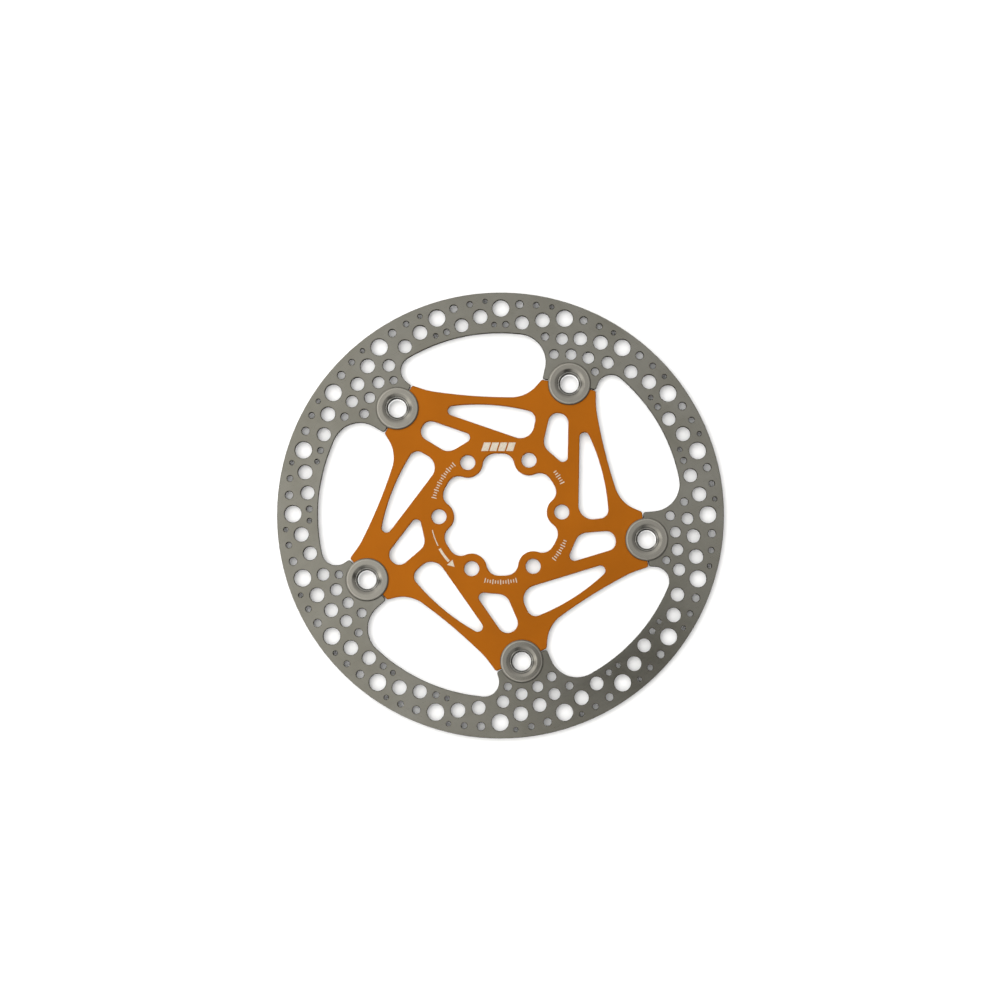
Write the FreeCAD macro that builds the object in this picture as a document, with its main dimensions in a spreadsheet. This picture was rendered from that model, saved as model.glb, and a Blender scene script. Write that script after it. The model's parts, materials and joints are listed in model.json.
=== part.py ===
import FreeCAD
import Part

import math
import os

import Sketcher

# A floating disc brake rotor for a bicycle hub with six bolts.
#
# A drilled steel braking ring hangs on an aluminium carrier at five stations. At each station
# ring and carrier meet on a slanted split with a round notch in both edges, and a hollow
# button fills the notch. A tubular rivet clamps the button to a backing washer, and a wave
# washer between that washer and the plates keeps them from rattling.
#
# Frame: the wheel's axis is Y, the front of the rotor faces -Y and the hub sits on the +Y side.
# The origin is the centre of the six bolt holes, on the face that rests against the hub.
# Each plate is drawn with its first station straight up (+Z), then turned by "clocking".

SIZES = {
    # braking ring
    "ring_diameter": 160.0,
    "ring_thickness": 1.8,
    # carrier
    "carrier_thickness": 2.0,
    "hub_pad_radius": 27.5,
    "hub_pad_height": 0.2,
    "centre_opening_radius": 22.0,
    "bolt_boss_radius": 5.4,
    "bolt_boss_root_radius": 4.3,
    "bolt_circle_radius": 22.0,
    "bolt_hole_radius": 2.7,
    "bolt_count": 6,
    # stations where ring and carrier meet
    "station_count": 5,
    "station_radius": 53.1,
    "clocking": 27.8,
    "notch_radius": 4.55,
    "edge_break": 0.15,
    # button
    "flange_radius": 7.7,
    "flange_thickness": 0.9,
    "flange_rim_round": 0.7,
    "flange_clearance": 0.05,
    "barrel_radius": 4.5,
    "button_bore_radius": 3.9,
    # funnel in the front of the button, which the rivet's flare carries on inwards
    "funnel_radius": 5.4,
    "funnel_slope": 20.0,
    "funnel_seam_radius": 4.2,
    "funnel_throat_round": 0.9,
    # tubular rivet
    "rivet_radius": 3.85,
    "rivet_bore_radius": 3.25,
    "rivet_seat_gap": 0.03,
    "rivet_flare_edge": 0.2,
    "rivet_rear_lip_radius": 5.1,
    "rivet_rear_lip_height": 0.35,
    "rivet_rear_lip_edge": 0.12,
    "rivet_rear_flat_radius": 4.3,
    "rivet_rear_mouth_radius": 3.9,
    # washers
    "backing_washer_radius": 7.2,
    "backing_washer_thickness": 0.5,
    "wave_washer_radius": 6.9,
    "wave_washer_bore_radius": 4.7,
    "wave_washer_thickness": 0.25,
    "wave_washer_clearance": 0.02,
    "wave_washer_room": 0.5,
    "wave_count": 3,
    "wave_points": 8,
    # drillings of the ring
    "chain_count": 20,
    "chain_start_angle": -8.3,
    # depth of every cut, well past both faces of either plate
    "through_cut": 20.0,
}

# Two places closer than this, in millimetres, count as one.
CLOSE = 1e-6

# Drillings: distance from the axis, angle counter-clockwise from the start, and diameter.
# The chain repeats round the whole ring, the rest only once at each station.
CHAIN_HOLES = {
    "chain_main": (74.3, 0.0, 6.1),
    "chain_second": (71.6, 5.9, 5.2),
    "chain_third": (69.5, 11.7, 4.9),
    "chain_tail_large": (76.0, -5.1, 2.8),
    "chain_tail_medium": (76.5, -9.6, 2.1),
    "chain_tail_small": (77.0, -13.8, 1.6),
}
STATION_HOLES = {
    "inner_pair_near_large": (68.45, 26.2, 2.2),
    "inner_pair_near_small": (68.4, 29.7, 1.7),
    "inner_pair_far_large": (68.45, 44.2, 2.2),
    "inner_pair_far_small": (68.4, 47.7, 1.7),
    "lug_outer_left": (67.0, 8.5, 4.25),
    "lug_outer_left_end": (66.0, 13.7, 2.8),
    "lug_outer_right": (66.9, -7.4, 4.4),
    "lug_middle": (64.6, -1.5, 4.25),
    "lug_middle_left": (62.95, 4.0, 3.9),
    "lug_inner_left": (60.8, 9.3, 3.35),
    "lug_inner_right": (61.6, -5.7, 2.8),
}

# Outlines as (across, outward, corner radius) in millimetres, with the station straight up.
# Each rim is one fifth of the plate's outline, clockwise from a corner beside the split.
RING_INNER_RIM = [
    (-9.4, 50.2, 0.8),
    (9.3, 55.6, 0.8),
    (8.1, 65.3, 5.2),
    (36.6, 58.4, 64.0),
    (57.7, 32.8, 10.0),
]
CARRIER_RIM = [
    (9.6, 55.25, 0.8),
    (12.65, 49.5, 28.0),
    (22.9, 36.65, 180.0),
    (35.95, 23.65, 12.0),
    (44.4, 24.4, 0.8),
]
SHORT_WINDOW = [
    (13.5, 26.0, 1.8),
    (4.8, 43.3, 3.4),
    (-1.3, 41.0, 3.4),
    (1.9, 28.8, 4.4),
]
LONG_WINDOW = [
    (25.75, 10.9, 5.0),
    (35.0, 17.15, 3.2),
    (25.5, 31.75, 75.0),
    (8.5, 45.05, 1.8),
]

doc = FreeCAD.newDocument("brake_disc_rotor")
sheet = doc.addObject("Spreadsheet::Sheet", "Sizes")


def fill_sheet():
    """Write every driving dimension to its own aliased cell."""
    cells = dict(SIZES)
    for group in (CHAIN_HOLES, STATION_HOLES):
        for name, (distance, angle, diameter) in group.items():
            cells[name + "_distance"] = distance
            cells[name + "_angle"] = angle
            cells[name + "_diameter"] = diameter
    for row, (alias, value) in enumerate(cells.items(), start=1):
        sheet.set(f"A{row}", alias)
        sheet.set(f"B{row}", str(value))
        sheet.setAlias(f"B{row}", alias)
    doc.recompute()


def size(alias):
    """The value of one driving dimension, read from the sheet."""
    return float(sheet.get(alias))


# ---------------------------------------------------------------- sketch helpers


def new_body(label):
    body = doc.addObject("PartDesign::Body", label)
    body.Label = label
    return body


def new_sketch(body, name, role="XZ_Plane", lift=None):
    """A sketch on one of the body's origin planes, lifted along the plane's normal."""
    sketch = body.newObject("Sketcher::SketchObject", name)
    plane = next(f for f in body.Origin.OriginFeatures if f.Role == role)
    sketch.AttachmentSupport = [(plane, "")]
    sketch.MapMode = "FlatFace"
    if lift:
        sketch.setExpression("AttachmentOffset.Base.z", lift)
    return sketch


def add_circle(sketch, radius, across=None, outward=None):
    """A circle whose radius and centre are expressions of the sheet's cells.

    Without a centre it sits on the origin, or on the sketch's upright axis.
    """
    circle = Part.Circle(FreeCAD.Vector(1, 1, 0), FreeCAD.Vector(0, 0, 1), 1)
    index = sketch.addGeometry(circle)
    centre = 3
    fixed = sketch.addConstraint(Sketcher.Constraint("Radius", index, 1))
    sketch.setExpression(f"Constraints[{fixed}]", f"({radius}) * 1 mm")
    for kind, place in (("DistanceX", across), ("DistanceY", outward)):
        if place:
            made = sketch.addConstraint(Sketcher.Constraint(kind, -1, 1, index, centre, 1))
            sketch.setExpression(f"Constraints[{made}]", f"({place}) * 1 mm")
    if not across and not outward:
        sketch.addConstraint(Sketcher.Constraint("Coincident", index, centre, -1, 1))
    elif not across:
        sketch.addConstraint(Sketcher.Constraint("PointOnObject", index, centre, -2))


def add_hole_on_ring(sketch, name, start="0"):
    """One drilling, placed by its distance from the axis and its angle from the station."""
    distance = f"Sizes.{name}_distance"
    angle = f"(90 + {start} + Sizes.{name}_angle)"
    add_circle(
        sketch,
        f"Sizes.{name}_diameter / 2",
        f"{distance} * cos({angle})",
        f"{distance} * sin({angle})",
    )


def rounded_corner(before, corner, after, radius):
    """Start, middle and end of the arc that rounds a corner."""
    towards_before = (before - corner).normalize()
    towards_after = (after - corner).normalize()
    half_angle = towards_before.getAngle(towards_after) / 2
    reach = radius / math.tan(half_angle)
    bisector = (towards_before + towards_after).normalize()
    crown = radius / math.sin(half_angle) - radius
    return corner + towards_before * reach, corner + bisector * crown, corner + towards_after * reach


def add_outline(sketch, corners):
    """A closed outline of straight sides and tangent arcs from (x, y, radius) corners."""
    points = [FreeCAD.Vector(x, y, 0) for x, y, _ in corners]
    arcs = []
    for index, (_, _, radius) in enumerate(corners):
        after = points[(index + 1) % len(points)]
        if radius:
            arcs.append(rounded_corner(points[index - 1], points[index], after, radius))
        else:
            arcs.append((points[index],) * 3)
    for index, (start, middle, end) in enumerate(arcs):
        if start != end:
            sketch.addGeometry(Part.Arc(start, middle, end))
        sketch.addGeometry(Part.LineSegment(end, arcs[(index + 1) % len(arcs)][0]))


def whole_rim(fifth):
    """The corners of a whole rim from those of one station, clockwise round the axis."""
    corners = []
    count = int(size("station_count"))
    for station in range(count):
        turn = 2 * math.pi * station / count
        c, s = math.cos(turn), math.sin(turn)
        corners += [(x * c + y * s, y * c - x * s, radius) for x, y, radius in fifth]
    return corners


# ---------------------------------------------------------------- feature helpers


def pad(body, sketch, length):
    """Thicken a sketch along its normal, which is the front (-Y) on the XZ plane."""
    feature = body.newObject("PartDesign::Pad", sketch.Name + "_pad")
    feature.Profile = sketch
    feature.setExpression("Length", f"({length}) * 1 mm")
    body.Tip = feature
    doc.recompute()
    return feature


def cut(body, sketch):
    """Cut a sketch through the plate on both sides of its plane, and check that it cut."""
    before = body.Tip.Shape.Volume
    feature = body.newObject("PartDesign::Pocket", sketch.Name + "_cut")
    feature.Profile = sketch
    feature.SideType = "Symmetric"
    feature.setExpression("Length", "Sizes.through_cut * 1 mm")
    body.Tip = feature
    doc.recompute()
    if feature.Shape.Volume >= before:
        raise RuntimeError(f"{feature.Name} removes nothing")
    return feature


def repeat(body, feature, sketch, count):
    """Repeat a feature evenly round the wheel's axis."""
    pattern = body.newObject("PartDesign::PolarPattern", feature.Name + "_pattern")
    pattern.Originals = [feature]
    pattern.Axis = (sketch, ["N_Axis"])
    pattern.Angle = 360
    pattern.setExpression("Occurrences", count)
    body.Tip = pattern
    doc.recompute()
    return pattern


def break_edges(body, name, depths, round_holes):
    """A fine bevel on the edges at these depths: either the round holes' or all the others."""
    plate = body.Tip
    picked = []
    for number, edge in enumerate(plate.Shape.Edges, start=1):
        depth = edge.BoundBox.Center.y
        level = edge.BoundBox.YLength < CLOSE
        at_face = level and any(abs(depth - face) < CLOSE for face in depths)
        if at_face and (len(edge.Vertexes) == 1) == round_holes:
            picked.append(f"Edge{number}")
    bevel = body.newObject("PartDesign::Chamfer", name)
    bevel.Base = (plate, picked)
    bevel.setExpression("Size", "Sizes.edge_break * 1 mm")
    body.Tip = bevel
    doc.recompute()


def turn_to_clocking(body):
    """Turn a finished plate about the wheel's axis to its stored clocking."""
    body.Placement = FreeCAD.Placement(FreeCAD.Vector(), FreeCAD.Rotation(FreeCAD.Vector(0, 1, 0), 1))
    body.setExpression("Placement.Rotation.Angle", "Sizes.clocking * 1 deg")


# ---------------------------------------------------------------- plates

RING_LIFT = "(Sizes.hub_pad_height + (Sizes.carrier_thickness - Sizes.ring_thickness) / 2) * 1 mm"
PLATE_LIFT = "Sizes.hub_pad_height * 1 mm"


def cut_notches(body):
    """The round notch for the button's barrel at each station."""
    sketch = new_sketch(body, body.Name + "_notch")
    add_circle(sketch, "Sizes.notch_radius", outward="Sizes.station_radius")
    repeat(body, cut(body, sketch), sketch, "Sizes.station_count")


def make_brake_track():
    body = new_body("brake_track")

    ring = new_sketch(body, "ring", lift=RING_LIFT)
    add_circle(ring, "Sizes.ring_diameter / 2")
    add_outline(ring, whole_rim(RING_INNER_RIM))
    pad(body, ring, "Sizes.ring_thickness")

    cut_notches(body)

    station_holes = new_sketch(body, "station_holes")
    for name in STATION_HOLES:
        add_hole_on_ring(station_holes, name)
    repeat(body, cut(body, station_holes), station_holes, "Sizes.station_count")

    chain_holes = new_sketch(body, "chain_holes")
    for name in CHAIN_HOLES:
        add_hole_on_ring(chain_holes, name, "Sizes.chain_start_angle")
    repeat(body, cut(body, chain_holes), chain_holes, "Sizes.chain_count")

    front = -size("hub_pad_height") - (size("carrier_thickness") + size("ring_thickness")) / 2
    faces = (front, front + size("ring_thickness"))
    break_edges(body, "ring_hole_edge_break", faces, round_holes=True)
    break_edges(body, "ring_rim_edge_break", faces, round_holes=False)
    turn_to_clocking(body)
    return body


def add_scalloped_opening(sketch):
    """The centre opening: a circle with a round boss at each bolt and a fillet at each root."""
    opening = size("centre_opening_radius")
    boss = size("bolt_boss_radius")
    root = size("bolt_boss_root_radius")
    bolt_circle = size("bolt_circle_radius")
    count = int(size("bolt_count"))
    root_distance = opening - root
    gap = boss + root
    spread = math.acos(
        (root_distance**2 + bolt_circle**2 - gap**2) / (2 * root_distance * bolt_circle)
    )

    def polar(distance, angle):
        return FreeCAD.Vector(distance * math.cos(angle), distance * math.sin(angle), 0)

    for bolt in range(count):
        ray = math.pi / 2 + 2 * math.pi * bolt / count
        next_ray = ray + 2 * math.pi / count
        boss_centre = polar(bolt_circle, ray)
        sides = []
        for side in (-1, 1):
            root_centre = polar(root_distance, ray + side * spread)
            on_opening = polar(opening, ray + side * spread)
            on_boss = boss_centre + (root_centre - boss_centre) * (boss / gap)
            chord_middle = (on_opening + on_boss) / 2
            outward = (chord_middle - root_centre).normalize()
            sides.append((on_opening, root_centre + outward * root, on_boss))
        boss_tip = polar(bolt_circle - boss, ray)
        sketch.addGeometry(Part.Arc(*sides[0]))
        sketch.addGeometry(Part.Arc(sides[0][2], boss_tip, sides[1][2]))
        sketch.addGeometry(Part.Arc(*sides[1]))
        lobe = (polar(opening, ray + spread), polar(opening, (ray + next_ray) / 2))
        sketch.addGeometry(Part.Arc(*lobe, polar(opening, next_ray - spread)))


def make_carrier():
    body = new_body("carrier")

    hub_pad = new_sketch(body, "hub_pad")
    add_circle(hub_pad, "Sizes.hub_pad_radius")
    pad(body, hub_pad, "Sizes.hub_pad_height + Sizes.carrier_thickness / 2")

    plate = new_sketch(body, "plate", lift=PLATE_LIFT)
    add_outline(plate, whole_rim(CARRIER_RIM))
    pad(body, plate, "Sizes.carrier_thickness")

    opening = new_sketch(body, "centre_opening")
    add_scalloped_opening(opening)
    cut(body, opening)

    bolt_hole = new_sketch(body, "bolt_hole")
    add_circle(bolt_hole, "Sizes.bolt_hole_radius", outward="Sizes.bolt_circle_radius")
    repeat(body, cut(body, bolt_hole), bolt_hole, "Sizes.bolt_count")

    cut_notches(body)

    for name, corners in (("short_window", SHORT_WINDOW), ("long_window", LONG_WINDOW)):
        window = new_sketch(body, name)
        add_outline(window, corners)
        repeat(body, cut(body, window), window, "Sizes.station_count")

    front = -size("hub_pad_height") - size("carrier_thickness")
    break_edges(body, "carrier_hole_edge_break", (front, 0.0), round_holes=True)
    break_edges(body, "carrier_rim_edge_break", (front,), round_holes=False)
    turn_to_clocking(body)
    return body


# ---------------------------------------------------------------- rivet stacks


def turn_profile(body, edges):
    """Revolve a closed profile of (radius, depth) edges about the Y axis."""
    sketch = new_sketch(body, body.Name + "_profile", role="XY_Plane")
    for edge in edges:
        points = [FreeCAD.Vector(x, y, 0) for x, y in edge]
        sketch.addGeometry(Part.LineSegment(*points) if len(points) == 2 else Part.Arc(*points))
    feature = body.newObject("PartDesign::Revolution", body.Name + "_turned")
    feature.Profile = sketch
    feature.ReferenceAxis = (sketch, ["V_Axis"])
    feature.Angle = 360
    body.Tip = feature
    doc.recompute()


def path(*points):
    """Straight edges from each point to the next."""
    return list(zip(points, points[1:]))


def quarter(start, corner, end):
    """A quarter-round edge from start to end, bulging towards the corner between them."""
    centre = (start[0] + end[0] - corner[0], start[1] + end[1] - corner[1])
    share = math.sqrt(0.5)
    middle = tuple(c + (k - c) * share for c, k in zip(centre, corner))
    return start, middle, end


def stack_depths():
    """The places along Y of the faces in one rivet stack, front to rear."""
    plate_rear = -size("hub_pad_height")
    flange_rear = plate_rear - size("carrier_thickness") - size("flange_clearance")
    flange_front = flange_rear - size("flange_thickness")
    barrel_rear = plate_rear + size("wave_washer_room")
    washer_rear = barrel_rear + size("backing_washer_thickness")
    return {
        "flange_front": flange_front,
        "flange_rear": flange_rear,
        "plate_rear": plate_rear,
        "barrel_rear": barrel_rear,
        "washer_rear": washer_rear,
        "rivet_rear": washer_rear + size("rivet_rear_lip_height"),
    }


def funnel_depth(radius):
    """The place along Y of the funnel's wall at this radius."""
    slope = math.tan(math.radians(size("funnel_slope")))
    return stack_depths()["flange_front"] + (size("funnel_radius") - radius) * slope


def seat_depth(radius):
    """The place along Y of the 45 degree seat in the button, under the rivet's flare."""
    seam = size("funnel_seam_radius")
    recess = funnel_depth(seam) + size("rivet_flare_edge") + size("rivet_seat_gap")
    return recess + seam - radius


def make_button(number):
    """A turned button: wide round-edged flange, funnel, seat for the flare, and barrel."""
    body = new_body(f"button_{number}")
    at = stack_depths()
    rim_round = size("flange_rim_round")
    flange = size("flange_radius")
    barrel = size("barrel_radius")
    bore = size("button_bore_radius")
    seam = size("funnel_seam_radius")

    face_end = (flange - rim_round, at["flange_front"])
    rim_start = (flange, at["flange_front"] + rim_round)
    turn_profile(body, path(
        (bore, at["barrel_rear"]),
        (bore, seat_depth(bore)),
        (seam, seat_depth(seam)),
        (seam, funnel_depth(seam)),
        (size("funnel_radius"), at["flange_front"]),
        face_end,
    ) + [
        quarter(face_end, (flange, at["flange_front"]), rim_start),
    ] + path(
        rim_start,
        (flange, at["flange_rear"]),
        (barrel, at["flange_rear"]),
        (barrel, at["barrel_rear"]),
        (bore, at["barrel_rear"]),
    ))
    place_at_station(body, number)
    return body


def make_rivet(number):
    """A tubular rivet: flared into the button's seat, rolled over the backing washer."""
    body = new_body(f"rivet_{number}")
    at = stack_depths()
    bore = size("rivet_bore_radius")
    tube = size("rivet_radius")
    gap = size("rivet_seat_gap")
    lip = size("funnel_seam_radius") - gap
    rear_lip = size("rivet_rear_lip_radius")
    rear_edge = at["washer_rear"] + size("rivet_rear_lip_edge")
    rear_mouth = size("rivet_rear_mouth_radius")
    rear = at["rivet_rear"]

    flare_edge = (lip, funnel_depth(lip))
    bore_rear = (bore, rear - (rear_mouth - bore))
    throat = rounded_corner(
        FreeCAD.Vector(*flare_edge, 0),
        FreeCAD.Vector(bore, funnel_depth(bore), 0),
        FreeCAD.Vector(*bore_rear, 0),
        size("funnel_throat_round"),
    )
    throat_start, throat_middle, throat_end = [(point.x, point.y) for point in throat]
    roll_edge = (rear_lip, rear_edge)
    roll_top = (size("rivet_rear_flat_radius"), rear)
    mouth_top = (rear_mouth, rear)
    turn_profile(body, path(
        throat_end,
        bore_rear,
    ) + [
        quarter(bore_rear, (bore, rear), mouth_top),
        (mouth_top, roll_top),
        quarter(roll_top, (rear_lip, rear), roll_edge),
    ] + path(
        roll_edge,
        (rear_lip, at["washer_rear"]),
        (tube, at["washer_rear"]),
        (tube, seat_depth(tube) - gap),
        (lip, seat_depth(lip) - gap),
        flare_edge,
        throat_start,
    ) + [
        (throat_start, throat_middle, throat_end),
    ])
    place_at_station(body, number)
    return body


def make_backing_washer(number):
    """A flat washer against the rear end of the button's barrel."""
    body = new_body(f"backing_washer_{number}")
    at = stack_depths()
    rim = size("backing_washer_radius")
    bore = size("button_bore_radius")
    bevel = size("edge_break")
    turn_profile(body, path(
        (bore, at["barrel_rear"]),
        (rim - bevel, at["barrel_rear"]),
        (rim, at["barrel_rear"] + bevel),
        (rim, at["washer_rear"] - bevel),
        (rim - bevel, at["washer_rear"]),
        (bore, at["washer_rear"]),
        (bore, at["barrel_rear"]),
    ))
    place_at_station(body, number)
    return body


def make_wave_washer(number):
    """A closed ring of spring strip, waved between the plates and the backing washer."""
    at = stack_depths()
    thickness = size("wave_washer_thickness")
    low = at["plate_rear"] + size("wave_washer_clearance")
    high = at["barrel_rear"] - size("wave_washer_clearance") - thickness
    waves = size("wave_count")
    steps = int(size("wave_points") * waves)

    def waved_circle(radius):
        points = []
        for step in range(steps):
            angle = 2 * math.pi * step / steps
            depth = (low + high) / 2 + (high - low) / 2 * math.cos(waves * angle)
            points.append(FreeCAD.Vector(radius * math.cos(angle), depth, radius * math.sin(angle)))
        curve = Part.BSplineCurve()
        curve.interpolate(points, PeriodicFlag=True)
        return curve.toShape()

    strip = Part.makeRuledSurface(
        waved_circle(size("wave_washer_bore_radius")), waved_circle(size("wave_washer_radius"))
    )
    washer = doc.addObject("Part::Feature", f"wave_washer_{number}")
    washer.Label = washer.Name
    washer.Shape = strip.extrude(FreeCAD.Vector(0, thickness, 0))
    place_at_station(washer, number)
    return washer


def place_at_station(piece, number):
    """Move a piece that was made on the Y axis to its station, counted counter-clockwise."""
    angle = f"(90 - Sizes.clocking + {number - 1} * 360 / Sizes.station_count)"
    piece.setExpression("Placement.Base.x", f"Sizes.station_radius * cos({angle}) * 1 mm")
    piece.setExpression("Placement.Base.z", f"Sizes.station_radius * sin({angle}) * 1 mm")


# ---------------------------------------------------------------- build and export


def check_all(pieces):
    """Stop if any object failed to recompute or any piece isn't one valid solid."""
    for item in doc.Objects:
        if {"Invalid", "Error"} & set(item.State):
            raise RuntimeError(f"{item.Label} failed: {item.State}")
    for piece in pieces:
        shape = piece.Shape
        if shape.isNull() or not shape.isValid() or len(shape.Solids) != 1:
            raise RuntimeError(f"{piece.Label} is not one valid solid")
        print(f"{piece.Label}: {shape.Volume:.2f} mm3, {len(shape.Faces)} faces")


def main():
    fill_sheet()
    pieces = [make_brake_track(), make_carrier()]
    for number in range(1, int(size("station_count")) + 1):
        pieces += [
            make_button(number),
            make_rivet(number),
            make_wave_washer(number),
            make_backing_washer(number),
        ]
    doc.recompute()
    check_all(pieces)
    os.makedirs("parts", exist_ok=True)
    for piece in pieces:
        piece.Shape.exportStep(f"parts/{piece.Label}.step")


main()
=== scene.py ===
import functools
import json
import math

import bmesh
import bpy
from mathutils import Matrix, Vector


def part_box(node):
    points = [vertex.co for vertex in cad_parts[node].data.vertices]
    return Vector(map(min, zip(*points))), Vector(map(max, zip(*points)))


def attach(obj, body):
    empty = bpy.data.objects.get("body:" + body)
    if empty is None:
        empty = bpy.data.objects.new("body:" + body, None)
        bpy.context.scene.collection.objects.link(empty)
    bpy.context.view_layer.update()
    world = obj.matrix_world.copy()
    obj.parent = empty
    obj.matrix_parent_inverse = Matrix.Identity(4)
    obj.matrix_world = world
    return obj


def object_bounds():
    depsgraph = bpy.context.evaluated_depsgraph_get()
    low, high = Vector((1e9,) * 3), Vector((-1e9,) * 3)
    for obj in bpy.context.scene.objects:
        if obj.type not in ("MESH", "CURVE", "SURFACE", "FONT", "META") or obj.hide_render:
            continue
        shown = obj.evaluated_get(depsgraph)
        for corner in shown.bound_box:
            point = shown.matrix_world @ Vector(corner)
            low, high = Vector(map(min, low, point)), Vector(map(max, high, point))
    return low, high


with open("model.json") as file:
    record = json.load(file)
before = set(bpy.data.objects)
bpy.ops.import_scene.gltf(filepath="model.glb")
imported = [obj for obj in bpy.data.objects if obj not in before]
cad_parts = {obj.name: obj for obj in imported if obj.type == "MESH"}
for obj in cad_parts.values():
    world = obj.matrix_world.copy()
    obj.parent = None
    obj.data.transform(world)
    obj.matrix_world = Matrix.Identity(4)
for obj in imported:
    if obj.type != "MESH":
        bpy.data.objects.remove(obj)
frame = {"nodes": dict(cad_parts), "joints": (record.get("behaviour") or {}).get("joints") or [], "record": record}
cad_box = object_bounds()

# A floating bicycle brake rotor: a ground steel braking ring on an orange anodised carrier,
# with five turning rivet stacks. The row frame has the wheel's axis along Y and the rotor's
# front towards -Y. The rotor is shown as if it lay face up on a pale sheet, so the sheet
# stands straight behind it, and it is seen from a little below its axis.

MM = 0.001
TO_MM = (1 / MM,) * 3
nodes = frame["nodes"]
carrier_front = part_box("carrier")[0].y

# Radii in millimetres over which one finish passes into the next.
RING_RIM = (79.3, 79.7)
BRAKING_FACE = (64.5, 67.5)
FLANGE_RIM = (6.7, 7.3)


# ---------------------------------------------------------------- node helpers


class Nodes:
    """Writes one node tree. Each method adds nodes and returns the socket of its result."""

    # Fractal noise seldom leaves this range.
    NOISE_RANGE = (0.3, 0.7)

    def __init__(self, tree):
        self.tree = tree
        self.coordinates = self.add("TexCoord")

    def add(self, kind, **settings):
        """Add one node and return the node itself."""
        made = self.tree.nodes.new("ShaderNode" + kind)
        for key, value in settings.items():
            setattr(made, key, value)
        return made

    def join(self, socket, value):
        """Link a socket to an input, or set the input to a plain value."""
        if isinstance(value, bpy.types.NodeSocket):
            self.tree.links.new(value, socket)
        else:
            socket.default_value = value

    def node(self, kind, *inputs, output=0, **settings):
        """Add one node with its inputs in order, where None leaves an input alone."""
        made = self.add(kind, **settings)
        for socket, value in zip(made.inputs, inputs):
            if value is not None:
                self.join(socket, value)
        return made.outputs[output]

    def math(self, operation, *values):
        return self.node("Math", *values, operation=operation)

    def product(self, *values):
        return functools.reduce(functools.partial(self.math, "MULTIPLY"), values)

    def total(self, *values):
        return functools.reduce(functools.partial(self.math, "ADD"), values)

    def vector(self, operation, *values):
        output = "Value" if operation in ("LENGTH", "DOT_PRODUCT") else "Vector"
        return self.node("VectorMath", *values, operation=operation, output=output)

    def scaled(self, vector, factors):
        return self.vector("MULTIPLY", vector, factors)

    def noise(self, vector, detail, roughness):
        """Fractal noise from 0 to 1 with cells of size 1 in the vector's units."""
        made = self.add("TexNoise")
        settings = {"Vector": vector, "Scale": 1.0, "Detail": detail, "Roughness": roughness}
        for name, value in settings.items():
            self.join(made.inputs[name], value)
        return made.outputs["Fac"]

    def mottle(self, place, density, detail, roughness):
        """Even noise with a number of cells to the millimetre."""
        return self.noise(self.scaled(place, (density,) * 3), detail, roughness)

    def streaks(self, place, angle, densities, detail, roughness):
        """Noise drawn out into streaks that are turned round the Y axis."""
        turned = self.node("VectorRotate", place, None, None, angle, rotation_type="Y_AXIS")
        return self.noise(self.scaled(turned, densities), detail, roughness)

    def spread(self, value, low, high, start=0.0, end=1.0, smooth=False):
        """Map start..end to low..high and hold it there."""
        way = "SMOOTHSTEP" if smooth else "LINEAR"
        return self.node("MapRange", value, start, end, low, high, interpolation_type=way)

    def vary(self, noise, low, high):
        """Map the range of a noise to low..high."""
        return self.spread(noise, low, high, *self.NOISE_RANGE)

    def blend(self, share, first, second):
        """A colour between two colours."""
        made = self.add("Mix", data_type="RGBA")
        # The colour sockets share their names with the number and vector sockets before them.
        for index, value in ((0, share), (6, first), (7, second)):
            self.join(made.inputs[index], value)
        return made.outputs[2]

    def brighten(self, colour, factor):
        """A colour, as a socket or red, green and blue, times a number."""
        return self.vector("MULTIPLY", colour, self.node("CombineXYZ", factor, factor, factor))


class Shader(Nodes):
    """One material with a Principled surface."""

    def __init__(self, name, edge_radius=0.2 * MM, **surface):
        self.material = bpy.data.materials.new(name)
        self.material.use_nodes = True
        super().__init__(self.material.node_tree)
        self.surface = self.tree.nodes["Principled BSDF"]
        for socket, value in surface.items():
            self.put(socket, value)
        self.eased = self.node("Bevel", edge_radius, samples=6)

    def put(self, socket, value):
        """Set or link one input of the surface."""
        self.join(self.surface.inputs[socket], value)

    def place(self):
        """Place on the object in millimetres, in the row frame."""
        return self.scaled(self.coordinates.outputs["Object"], TO_MM)

    def place_in_stack(self):
        """Place in millimetres from the axis of the rivet stack that the object is in."""
        axis = self.node("Attribute", attribute_type="OBJECT", attribute_name="stack_axis", output="Vector")
        return self.vector("SUBTRACT", self.place(), self.scaled(axis, TO_MM))

    def around(self, place, along, across, depth=0.0):
        """Coordinates for marks that run round the Y axis, and the radius in millimetres. Cells
        are 1/along radians long, 1/across millimetres wide and 1/depth millimetres deep."""
        flat = self.scaled(place, (1, 0, 1))
        radius = self.vector("LENGTH", flat)
        heading = self.scaled(self.vector("NORMALIZE", flat), (along, 0, along))
        upright = self.node("SeparateXYZ", place, output="Y")
        lift = self.total(self.product(radius, across), self.product(upright, depth))
        return self.vector("ADD", heading, self.node("CombineXYZ", 0.0, lift, 0.0)), radius

    def face_share(self):
        """1 on faces that look along Y, 0 on the walls of holes and rims."""
        along_axis = self.node("SeparateXYZ", self.coordinates.outputs["Normal"], output="Y")
        return self.spread(self.math("ABSOLUTE", along_axis), 0, 1, 0.75, 0.97, smooth=True)

    def edge_share(self):
        """1 on the eased sharp edges, falling to 0 on open faces."""
        plain = self.node("NewGeometry", output="Normal")
        agreement = self.vector("DOT_PRODUCT", self.eased, plain)
        return self.spread(agreement, 1, 0, 0.86, 0.995)

    def bump(self, height, depth, strength=0.5):
        """Relief of the given depth in metres, over the eased edges."""
        made = self.add("Bump")
        settings = {"Height": height, "Normal": self.eased, "Distance": depth, "Strength": strength}
        for name, value in settings.items():
            self.join(made.inputs[name], value)
        self.put("Normal", made.outputs[0])


# ---------------------------------------------------------------- the object's materials


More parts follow.
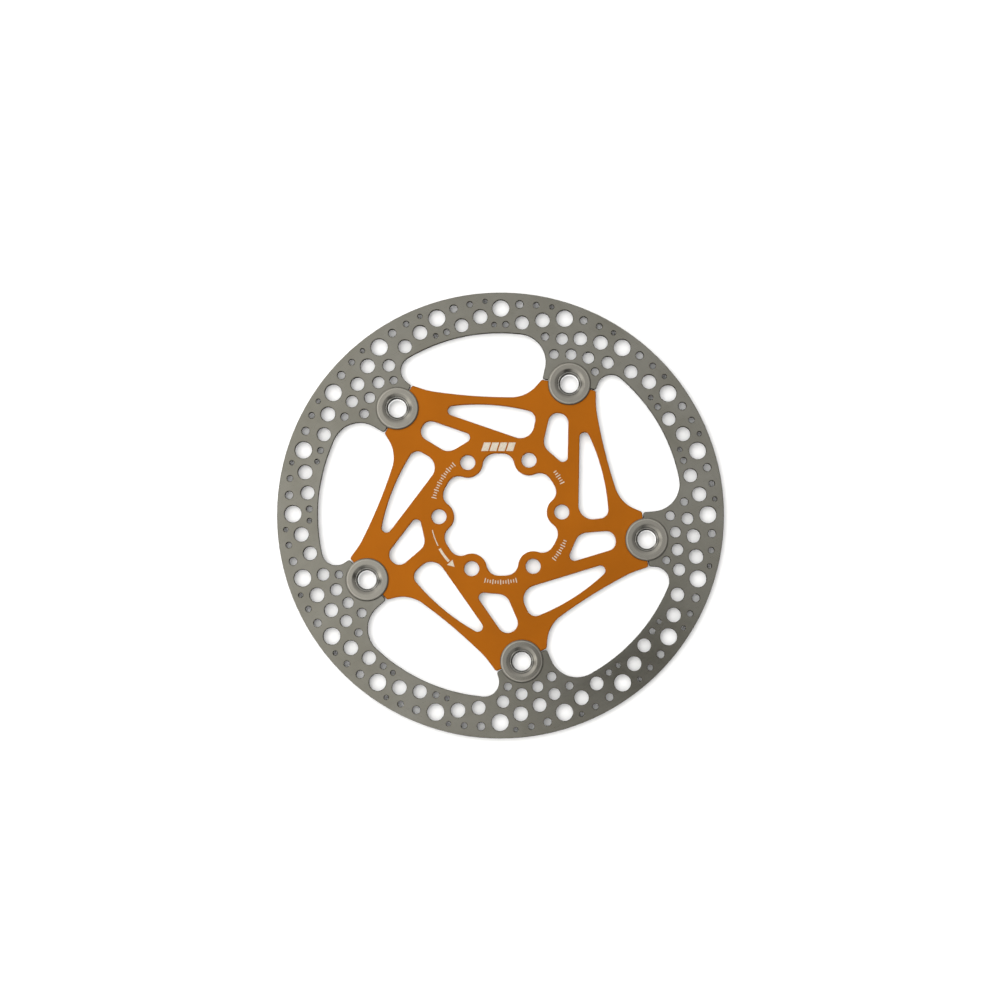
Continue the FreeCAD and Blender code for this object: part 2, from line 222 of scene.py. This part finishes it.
def ground_steel():
    """The braking ring: surface-ground stainless steel with faint crossing and circular marks,
    and a turned outer rim. The drilled walls are painted dark and dull, and a dark line is painted along the edges
    inside the ring: painted shade."""
    warm_face, cool_face = (0.09, 0.0865, 0.0725, 1), (0.089, 0.0865, 0.0755, 1)
    # The drilled walls' dark colour is painted shade inside the holes; the outer rim keeps the turned steel's own
    # colour.
    drilled_wall_painted_shade, outer_rim = (0.036, 0.034, 0.029, 1), (0.13, 0.125, 0.115, 1)
    # A dark line along the edges of the drillings and windows: painted shade.
    painted_edge_shade = (0.02, 0.019, 0.017, 1)

    s = Shader("ground_steel")
    place = s.place()
    turned, radius = s.around(place, 6.0, 7.0)
    circular = s.noise(turned, 3.0, 0.6)
    crossing = [s.streaks(place, angle, (0.12, 0.5, 6.0), 3.0, 0.65) for angle in (0.5, -0.65)]
    grain = s.product(s.total(*crossing), 0.5)
    marks = s.total(s.product(grain, 0.75), s.product(circular, 0.25))
    clouds = s.mottle(place, 0.045, 3.0, 0.55)
    patches = s.mottle(place, 0.4, 2.0, 0.5)

    on_face = s.face_share()
    on_rim = s.spread(radius, 0, 1, *RING_RIM)
    edge = s.edge_share()
    shade = s.product(s.vary(clouds, 0.9, 1.1), s.vary(marks, 0.9, 1.1), s.vary(patches, 0.97, 1.03))
    face = s.brighten(s.blend(s.spread(clouds, 0, 1, 0.35, 0.65), warm_face, cool_face), shade)
    # The drilled walls get the painted shade colour, the outer rim its turned steel colour.
    colour = s.blend(on_face, s.blend(on_rim, drilled_wall_painted_shade, outer_rim), face)
    # Painted shade along the eased edges inside the ring, fading to none on the outer rim.
    edge_shade_share = s.product(edge, s.spread(on_rim, 0.3, 0.0))
    s.put("Base Color", s.blend(edge_shade_share, colour, painted_edge_shade))
    # The drilled walls stay non-metallic and without specular, which keeps them dark: painted shade in the holes.
    s.put("Metallic", s.math("MAXIMUM", on_face, on_rim))
    s.put("Specular IOR Level", 0.0)

    on_braking_face = s.spread(radius, 0, 1, *BRAKING_FACE, smooth=True)
    polish = s.total(s.product(on_braking_face, 0.03), s.product(edge, 0.08))
    s.put("Roughness", s.math("SUBTRACT", s.vary(marks, 0.27, 0.39), polish))
    s.bump(marks, 0.006 * MM)
    return s.material


def anodised():
    """The carrier: machined aluminium with a satin orange anodised skin, blasted on its faces
    and with the cutter's passes left in its walls."""
    deep_face, pale_face = (0.215, 0.0608, 0.0006, 1), (0.222, 0.0638, 0.001, 1)
    cut_wall = (0.24, 0.062, 0.0012)
    # A dark outline along the eased edges: painted shade.
    painted_outline_shade = (0.06, 0.016, 0.0005, 1)

    s = Shader("orange_anodised", 0.25 * MM)
    place = s.place()
    blasted = s.mottle(place, 5.0, 3.0, 0.7)
    clouds = s.mottle(place, 0.06, 3.0, 0.55)
    passes = s.noise(s.scaled(place, (0.35, 7.0, 0.35)), 2.0, 0.6)

    on_face = s.face_share()
    on_wall = s.math("SUBTRACT", 1.0, on_face)
    shade = s.product(s.vary(clouds, 0.95, 1.05), s.vary(blasted, 0.94, 1.06))
    face = s.brighten(s.blend(clouds, deep_face, pale_face), shade)
    colour = s.blend(on_face, s.brighten(cut_wall, s.vary(passes, 0.8, 1.2)), face)
    # The eased edges take up to half of the painted shade colour.
    s.put("Base Color", s.blend(s.product(s.edge_share(), 0.5), colour, painted_outline_shade))
    s.put("Roughness", s.total(s.vary(blasted, 0.38, 0.48), s.product(clouds, 0.05)))
    s.put("Metallic", s.spread(on_face, 0.1, 0.55))
    s.put("Specular IOR Level", s.spread(on_face, 0.0, 0.1))
    s.bump(s.total(s.product(blasted, on_face), s.product(passes, on_wall)), 0.008 * MM)
    return s.material


def turned_steel(name, colour, rough, pitch):
    """A lathe-turned piece of a rivet stack, with marks round its own axis and a satin rim. A lighter base colour
    on the rim and on the eased edges is a painted highlight.
    """
    s = Shader(name, 0.5 * MM, Metallic=1.0)
    place = s.place_in_stack()
    turned, radius = s.around(place, 1.6, pitch, pitch)
    cuts = s.noise(turned, 3.0, 0.65)
    handled = s.mottle(place, 0.5, 3.0, 0.6)

    on_rim = s.spread(radius, 0, 1, *FLANGE_RIM, smooth=True)
    # The rim's base colour is raised up to 1.8 times: a painted highlight.
    painted_rim_highlight = s.spread(on_rim, 1.0, 1.8)
    shade = s.product(s.vary(cuts, 0.95, 1.05), s.vary(handled, 0.96, 1.04), painted_rim_highlight)
    # Twice the colour on the eased edges: a painted highlight.
    painted_edge_highlight = tuple(min(1.0, 2.0 * c) for c in colour) + (1,)
    s.put("Base Color", s.blend(s.product(s.edge_share(), 0.5), s.brighten(colour, shade), painted_edge_highlight))
    worn = s.total(s.vary(handled, -0.03, 0.03), s.product(on_rim, 0.34))
    s.put("Roughness", s.total(s.vary(cuts, rough - 0.03, rough + 0.03), worn))
    s.bump(cuts, 0.002 * MM, 0.6)
    return s.material


def spring_steel():
    """The wave washers: rolled strip, blued a little, with fine marks along the strip."""
    blued, straw = (0.1, 0.1, 0.11, 1), (0.12, 0.11, 0.095, 1)

    s = Shader("spring_strip", Metallic=1.0)
    place = s.place_in_stack()
    rolled, _ = s.around(place, 1.2, 9.0)
    lines = s.noise(rolled, 2.0, 0.6)
    heat = s.mottle(place, 0.25, 2.0, 0.5)
    colour = s.blend(s.spread(heat, 0, 1, 0.35, 0.65), blued, straw)
    s.put("Base Color", s.brighten(colour, s.vary(lines, 0.85, 1.15)))
    s.put("Roughness", s.vary(lines, 0.28, 0.4))
    s.bump(lines, 0.004 * MM)
    return s.material


def tumbled_steel():
    """The backing washers: stamped stainless steel, tumbled smooth with short scratches."""
    # The lighter edge colour is a painted highlight.
    plain_face, painted_edge_highlight = (0.15, 0.146, 0.137), (0.22, 0.215, 0.205, 1)
    deepest = (0.45, 0.75)

    s = Shader("tumbled_steel", Metallic=1.0)
    place = s.place_in_stack()
    scratches = [s.streaks(place, angle, (1.0, 1.0, 11.0), 2.0, 0.6) for angle in (0.2, 1.3, 2.4)]
    lines = functools.reduce(functools.partial(s.math, "MAXIMUM"), scratches)
    dents = s.mottle(place, 1.6, 3.0, 0.6)
    face = s.brighten(plain_face, s.spread(lines, 0.9, 1.1, *deepest))
    # The eased edges take up to 0.4 of the painted highlight colour.
    s.put("Base Color", s.blend(s.product(s.edge_share(), 0.4), face, painted_edge_highlight))
    s.put("Roughness", s.total(s.spread(lines, 0.3, 0.42, *deepest), s.vary(dents, -0.04, 0.04)))
    s.bump(s.total(s.product(dents, 0.7), s.product(lines, 0.3)), 0.01 * MM, 0.6)
    return s.material


def etched_mark():
    """Bare, laser-hatched aluminium where the laser has taken the anodising away."""
    stained, bare = (0.32, 0.25, 0.17, 1), (0.47, 0.43, 0.36, 1)

    s = Shader("etched_mark", Metallic=0.0)
    place = s.place()
    hatch = s.streaks(place, 0.785, (0.6, 1.0, 9.0), 2.0, 0.6)
    specks = s.mottle(place, 3.5, 3.0, 0.7)
    share = s.total(s.product(hatch, 0.5), s.product(specks, 0.5))
    s.put("Base Color", s.blend(s.spread(share, 0, 1, 0.35, 0.6), stained, bare))
    s.put("Roughness", s.vary(share, 0.75, 0.6))
    s.bump(share, 0.006 * MM)
    return s.material


def dress(node, material):
    """Give a CAD node its finished material in every slot."""
    slots = nodes[node].data.materials
    if not slots:
        slots.append(material)
    for index in range(len(slots)):
        slots[index] = material


STACK_FINISHES = {
    "button": turned_steel("turned_button", (0.112, 0.107, 0.094), rough=0.21, pitch=6.0),
    "rivet": turned_steel("flared_rivet", (0.11, 0.107, 0.098), rough=0.16, pitch=3.0),
    "wave_washer": spring_steel(),
    "backing_washer": tumbled_steel(),
}

dress("brake_track", ground_steel())
dress("carrier", anodised())
for joint in frame["joints"]:
    if joint["type"] != "hinge":
        continue
    for node in frame["record"]["behaviour"]["bodies"][joint["child"]]:
        nodes[node]["stack_axis"] = joint["pos_m"]
        dress(node, STACK_FINISHES[node.rsplit("_", 1)[0]])


# ---------------------------------------------------------------- etched marks on the carrier

# Sizes and radii in millimetres, angles in degrees counter-clockwise from +X.
MARK_RELIEF = 0.03 * MM
TICK_WIDTH = 0.38
LONG_TICK = 1.8
SHORT_TICK = 1.2
LONG_TICK_EVERY = 3
TICK_SPACING = 2.2
# Each row's name, radius, first angle and last angle.
TICK_ROWS = [
    ("mark_row_left", 24.5, 133, 167),
    ("mark_row_right", 24.8, 27, 37),
    ("mark_row_lower_right", 25.0, 320, 338),
    ("mark_row_bottom", 24.3, 257, 284),
]
BADGE_BARS = 4
BADGE_SPAN = (-6.9, 6.0)
BADGE_HEIGHTS = (22.7, 25.8)
BADGE_SLANT = 1.0
BADGE_GAP = 0.5
ARROW_RADIUS = 25.0
ARROW_TAIL = (193, 207)
ARROW_SHAFT = (209.5, 222.5)
ARROW_NECK = 223.5
ARROW_TIP = 229
ARROW_TAIL_WIDTH = 0.35
ARROW_SHAFT_WIDTH = 0.9
ARROW_HALF_WIDTH = 1.35

mark_material = etched_mark()


def polar(radius, angle):
    """A point on the carrier's face."""
    turn = math.radians(angle)
    return radius * math.cos(turn), radius * math.sin(turn)


def make_marks(name, outlines):
    """One piece of thin raised plates, from closed outlines on the front face."""
    mesh = bmesh.new()
    back, front = carrier_front, carrier_front - MARK_RELIEF
    for outline in outlines:
        rows = [[mesh.verts.new((x * MM, y, z * MM)) for x, z in outline] for y in (back, front)]
        mesh.faces.new(rows[0])
        mesh.faces.new(rows[1][::-1])
        for i in range(len(outline)):
            mesh.faces.new((rows[0][i - 1], rows[1][i - 1], rows[1][i], rows[0][i]))
    bmesh.ops.recalc_face_normals(mesh, faces=mesh.faces)
    data = bpy.data.meshes.new(name)
    mesh.to_mesh(data)
    mesh.free()
    piece = bpy.data.objects.new(name, data)
    bpy.context.scene.collection.objects.link(piece)
    data.materials.append(mark_material)
    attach(piece, "carrier")


def tick(radius, angle, length):
    """A short radial stroke."""
    half = math.degrees(TICK_WIDTH / 2 / radius)
    inner, outer = radius - length / 2, radius + length / 2
    return [polar(inner, angle - half), polar(inner, angle + half),
            polar(outer, angle + half), polar(outer, angle - half)]


def band(radius, start, end, width, steps=24):
    """A stroke that runs round the axis."""
    angles = [start + (end - start) * i / steps for i in range(steps + 1)]
    inner = [polar(radius - width / 2, angle) for angle in angles]
    outer = [polar(radius + width / 2, angle) for angle in reversed(angles)]
    return inner + outer


def tick_row(radius, start, end):
    """A plain row of long and short ticks, like the divisions of a ruler."""
    outlines = []
    for i in range(round((end - start) / TICK_SPACING) + 1):
        length = SHORT_TICK if i % LONG_TICK_EVERY else LONG_TICK
        outlines.append(tick(radius, start + i * TICK_SPACING, length))
    return outlines


def badge():
    """Slanted bars side by side, with no lettering."""
    (left, right), (low, high) = BADGE_SPAN, BADGE_HEIGHTS
    pitch = (right - left - BADGE_SLANT) / BADGE_BARS
    bars = []
    for i in range(BADGE_BARS):
        start, end = left + i * pitch, left + (i + 1) * pitch - BADGE_GAP
        bars.append([(start, low), (end, low), (end + BADGE_SLANT, high), (start + BADGE_SLANT, high)])
    return bars


def arrow():
    """The turning direction: a thin tail, a broad shaft and a head, all round the axis."""
    head = [polar(ARROW_RADIUS - ARROW_HALF_WIDTH, ARROW_NECK), polar(ARROW_RADIUS, ARROW_TIP),
            polar(ARROW_RADIUS + ARROW_HALF_WIDTH, ARROW_NECK)]
    return [band(ARROW_RADIUS, *ARROW_TAIL, ARROW_TAIL_WIDTH),
            band(ARROW_RADIUS, *ARROW_SHAFT, ARROW_SHAFT_WIDTH), head]


make_marks("mark_badge", badge())
for name, *row in TICK_ROWS:
    make_marks(name, tick_row(*row))
make_marks("mark_arrow", arrow())


# ---------------------------------------------------------------- stage, light and camera

# Lengths in metres and light power in watts.
SHEET_HALF = 0.45
SHEET_CLEARANCE = 0.05 * MM
FLOOR_LEVEL = -0.3
FLOOR_HALF = 4.0
FLOOR_GLOW = 0.24
LAMP_COLOUR = (1.0, 0.985, 0.95)
# Each lamp's name, place, target, size and power.
LAMPS = [
    ("upper_left_box", (-0.49, -0.37, 0.44), (0, 0, 0), 0.26, 1.2),
    ("left_box", (-0.57, -0.46, -0.15), (0, 0, 0), 0.22, 0.7),
    ("sheen", (-0.23, -0.5, 0.0), (-0.04, 0, 0), 0.36, 0.47),
]
CARD_CENTRE = (0.046, -0.16, -0.048)
CARD_HALF_WIDTH = 0.033
CARD_HALF_HEIGHT = 0.021
# The tent's bright side, and its light on the dark and the bright side.
LIT_SIDE = (-0.95, 0, 0.31)
TENT_GLOW = (0.6, 3.95)
# How dark the tent's foot is on the dark and the bright side.
FOOT_DARKNESS = (0.92, 0.93)
SEAM_ANGLES = (171.0, 290.0)
SEAM_HALF_WIDTH = 13
SEAM_DARKNESS = 0.95
VIEW_WIDTH = 0.358
DISTANCE = 1.0
DROP = 0.07
AIM_X, AIM_Z = -0.00016, 0.00511


def plane(name, centre, half_u, half_v):
    """A flat rectangle from its centre and two half sides, facing half_u x half_v."""
    mesh = bpy.data.meshes.new(name)
    centre, half_u, half_v = Vector(centre), Vector(half_u), Vector(half_v)
    corners = [centre + a * half_u + b * half_v for a, b in ((-1, -1), (1, -1), (1, 1), (-1, 1))]
    mesh.from_pydata(corners, [], [(0, 1, 2, 3)])
    made = bpy.data.objects.new(name, mesh)
    bpy.context.scene.collection.objects.link(made)
    return made


def paper(name, shade, glow=0.0, one_sided=False):
    """Matt white paper that may glow by itself. A one-sided sheet only exists from its front,
    and the first bounce of light passes through it. Later bounces find it black: painted shade under the plates."""
    s = Shader(name, Roughness=0.9)
    s.put("Specular IOR Level", 0.1)
    fibres = s.mottle(s.place(), 0.5, 3.0, 0.6)
    albedo = s.vary(fibres, shade - 0.004, shade + 0.004)
    if one_sided:
        # Past the first bounce the sheet is black, so little light creeps under the plates: painted shade in the
        # small holes.
        bounces = s.node("LightPath", output="Ray Depth")
        albedo = s.product(albedo, s.math("LESS_THAN", bounces, 0.5))
        behind = s.node("NewGeometry", output="Backfacing")
        first_bounce = s.math("COMPARE", bounces, 1.0, 0.1)
        clear = s.node("BsdfTransparent")
        mixed = s.node("MixShader", s.math("MAXIMUM", behind, first_bounce), s.surface.outputs[0], clear)
        s.join(s.tree.nodes["Material Output"].inputs["Surface"], mixed)
    s.put("Base Color", s.brighten((1, 1, 1), albedo))
    s.put("Emission Color", (1, 1, 1, 1))
    s.put("Emission Strength", glow)
    return s.material


def lay_sheet_and_floor():
    """The sheet that the rotor lies on, upright behind it, and a pale floor that neither lights
    the rotor nor shows in it."""
    sheet_y = cad_box[1].y + SHEET_CLEARANCE
    sheet = plane("sheet", (0, sheet_y, SHEET_HALF + FLOOR_LEVEL), (SHEET_HALF, 0, 0), (0, 0, SHEET_HALF))
    sheet.data.materials.append(paper("sheet_paper", 0.91, one_sided=True))
    floor = plane("floor", (0, 0, FLOOR_LEVEL), (FLOOR_HALF, 0, 0), (0, FLOOR_HALF, 0))
    floor.data.materials.append(paper("floor_paper", 0.9, FLOOR_GLOW))
    floor.visible_diffuse = floor.visible_glossy = False


def add_lamp(name, place, target, size, power):
    """A square soft light at place, aimed at target."""
    data = bpy.data.lights.new(name, "AREA")
    data.shape = "SQUARE"
    data.size = size
    data.energy = power
    data.color = LAMP_COLOUR
    made = bpy.data.objects.new(name, data)
    made.location = place
    aim = Vector(target) - Vector(place)
    made.rotation_euler = aim.to_track_quat("-Z", "Y").to_euler()
    made.visible_camera = False
    bpy.context.scene.collection.objects.link(made)


def hang_card():
    """A grey card that only the polished faces see, near the lower right."""
    card = plane("flag", CARD_CENTRE, (CARD_HALF_WIDTH, 0, 0), (0, 0, CARD_HALF_HEIGHT))
    grey = Shader("grey_card", Roughness=1.0)
    grey.put("Base Color", (0.85, 0.85, 0.85, 1))
    grey.put("Specular IOR Level", 0.0)
    card.data.materials.append(grey.material)
    card.visible_camera = card.visible_diffuse = card.visible_shadow = False


def tent():
    """A light tent of white panels: brighter on one side, with dark seams between its panels
    and a dark foot all round where it meets the sheet. It is plain white to the eye."""
    world = bpy.data.worlds.new("light_tent")
    bpy.context.scene.world = world
    world.use_nodes = True
    world.node_tree.nodes.clear()
    n = Nodes(world.node_tree)
    heading = n.coordinates.outputs["Generated"]
    side = n.vector("DOT_PRODUCT", heading, LIT_SIDE)
    front = n.vector("DOT_PRODUCT", heading, (0, -1, 0))
    x, _, z = n.node("SeparateXYZ", heading).node.outputs
    azimuth = n.product(n.math("ARCTAN2", z, x), math.degrees(1))

    near_sheet = n.product(
        n.spread(n.math("ABSOLUTE", front), 1, 0, 0.37, 0.82, smooth=True),
        n.spread(front, 0, 1, -0.3, 0.0, smooth=True))
    dark = n.product(near_sheet, n.spread(side, *FOOT_DARKNESS, -0.25, 0.5, smooth=True))
    in_wall = n.product(
        n.spread(front, 0, 1, 0.12, 0.3, smooth=True),
        n.spread(front, 1, 0, 0.72, 0.9, smooth=True))
    for angle in SEAM_ANGLES:
        away = n.math("ABSOLUTE", n.math("WRAP", n.math("SUBTRACT", azimuth, angle), 180.0, -180.0))
        falloff = (0.4 * SEAM_HALF_WIDTH, 1.6 * SEAM_HALF_WIDTH)
        on_seam = n.spread(away, SEAM_DARKNESS, 0, *falloff, smooth=True)
        dark = n.math("MAXIMUM", dark, n.product(on_seam, in_wall))
    strength = n.product(n.spread(side, *TENT_GLOW, -1, 1), n.math("SUBTRACT", 1.0, dark))
    lit = n.node("Background", (1.0, 0.995, 0.985, 1), strength)
    white = n.node("Background", (1, 1, 1, 1), 1.0)
    by_eye = n.node("LightPath", output="Is Camera Ray")
    n.join(n.add("OutputWorld").inputs["Surface"], n.node("MixShader", by_eye, lit, white))


def set_camera():
    """A long lens in front of the rotor and a little below its axis, tilted up at it."""
    camera = bpy.data.cameras.new("camera")
    camera.sensor_width = 36.0
    camera.lens = camera.sensor_width * math.hypot(DISTANCE, DROP) / VIEW_WIDTH
    camera.clip_end = 50.0
    made = bpy.data.objects.new("camera", camera)
    made.location = (AIM_X, carrier_front - DISTANCE, AIM_Z - DROP)
    made.rotation_euler = (math.radians(90) + math.atan2(DROP, DISTANCE), 0, 0)
    bpy.context.scene.collection.objects.link(made)
    bpy.context.scene.camera = made


lay_sheet_and_floor()
for lamp in LAMPS:
    add_lamp(*lamp)
hang_card()
tent()
set_camera()
bpy.context.scene.view_settings.view_transform = "Standard"
